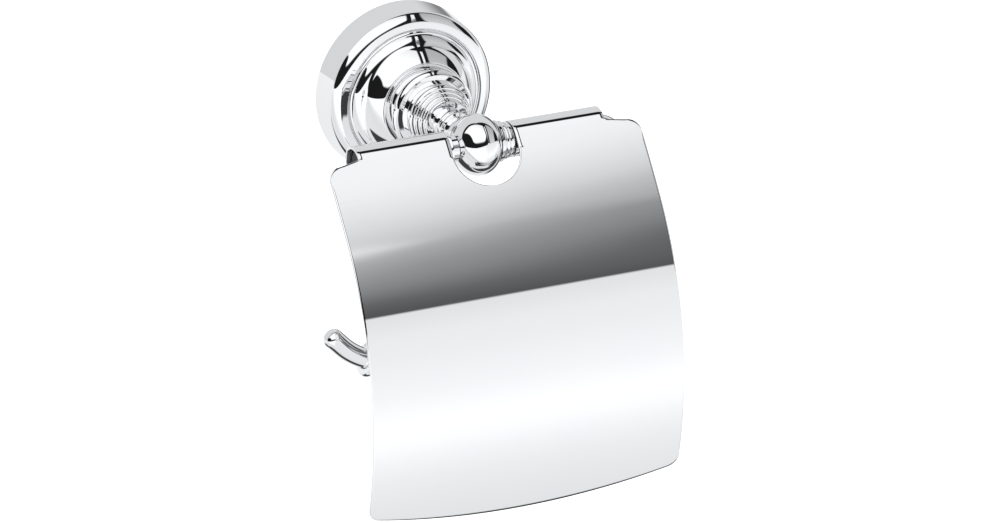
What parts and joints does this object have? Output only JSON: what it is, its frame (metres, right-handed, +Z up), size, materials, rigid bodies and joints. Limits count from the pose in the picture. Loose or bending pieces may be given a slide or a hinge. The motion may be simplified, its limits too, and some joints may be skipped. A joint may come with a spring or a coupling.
{
  "type": "toilet paper holder",
  "caption": "Wall-mounted toilet paper holder: stepped round flange, ball joint stem, bent roll bar and a hinged curved cover.",
  "frame": {"origin": "centre of the flange's back face, on the wall", "axes": "-Y out of the wall, +Z up, X along the cover's hinge"},
  "size_m": [0.128, 0.1171, 0.1656],
  "materials": {
    "chromed_brass": "polished",
    "chromed_sheet": "polished",
    "zinc_bracket": "satin",
    "zinc_fastener": "satin",
    "bush_plastic": "matte"
  },
  "bodies": {
    "holder": {"rosette": "chromed_brass", "wall_bracket": "zinc_bracket", "rosette_grub_screw": "zinc_fastener", "stem": "chromed_brass", "stem_bolt": "zinc_fastener", "stem_washer": "zinc_fastener", "ball_stud": "zinc_fastener", "ball": "chromed_brass", "ball_grub_screw": "zinc_fastener", "collar_left": "chromed_brass", "collar_right": "chromed_brass", "axle_cap": "bush_plastic", "arm": "chromed_brass", "bar_ring": "chromed_brass"},
    "lid": {"cover": "chromed_sheet", "bush_left": "bush_plastic", "bush_right": "bush_plastic"}
  },
  "joints": [
    {"name": "cover_hinge", "type": "hinge", "parent": "holder", "child": "lid", "pos_m": [0, -0.07, 0], "axis": [-1, 0, 0], "range_deg": [-24, 100]}
  ]
}
